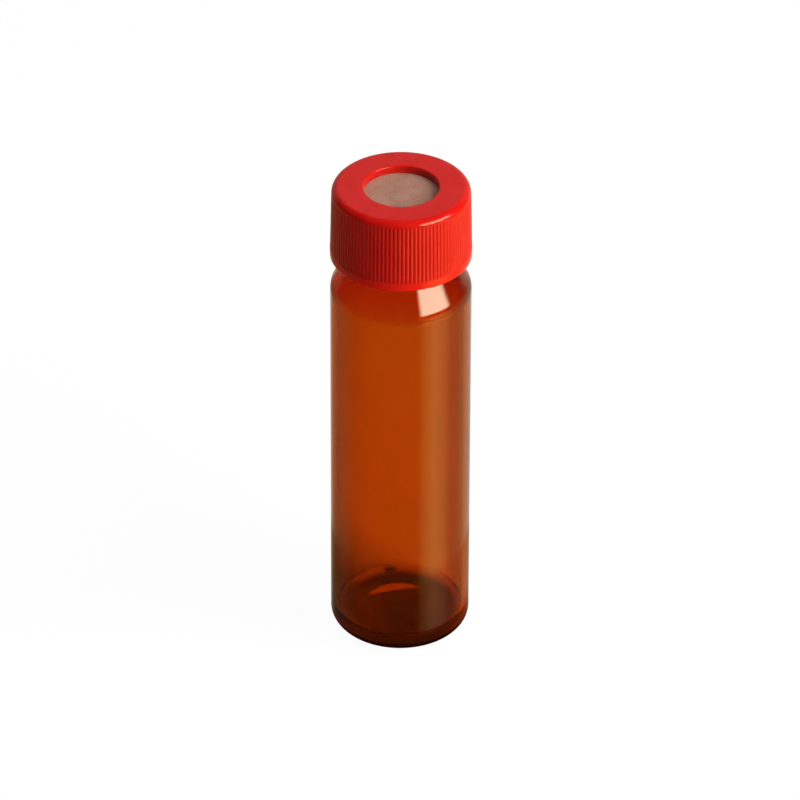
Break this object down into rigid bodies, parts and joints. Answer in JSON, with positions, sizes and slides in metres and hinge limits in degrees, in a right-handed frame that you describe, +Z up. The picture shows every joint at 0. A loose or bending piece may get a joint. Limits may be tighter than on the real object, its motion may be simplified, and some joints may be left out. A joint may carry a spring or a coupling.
{
  "type": "glass sample vial",
  "caption": "Amber glass screw-thread sample vial with a ribbed open-top cap and a two-layer septum under the cap's hole.",
  "frame": {"origin": "centre of the base, on the surface that the vial stands on", "axes": "+Z up along the common axis of the glass, cap and septum"},
  "size_m": [0.0274, 0.0274, 0.1003],
  "materials": {
    "vial": "clear amber, smooth",
    "cap": "satin red polypropylene",
    "septum": "matt beige silicone",
    "septum_facing": "smooth white fluoropolymer"
  },
  "bodies": {
    "vial": {"vial": "vial"},
    "septum": {"septum": "septum", "septum_facing": "septum_facing"},
    "cap": {"cap": "cap"}
  },
  "joints": [
    {"name": "cap_lift", "type": "slide", "parent": "vial", "child": "septum", "axis": [0, 0, 1], "range_m": [0, 0.0127]},
    {"name": "cap_turn", "type": "hinge", "parent": "septum", "child": "cap", "pos_m": [0, 0, 0.09], "axis": [0, 0, 1], "range_deg": [0, 1440]}
  ],
  "couplings": [
    {"joint": "cap_lift", "follows": "cap_turn", "m_per_rad": 0.00050532}
  ]
}
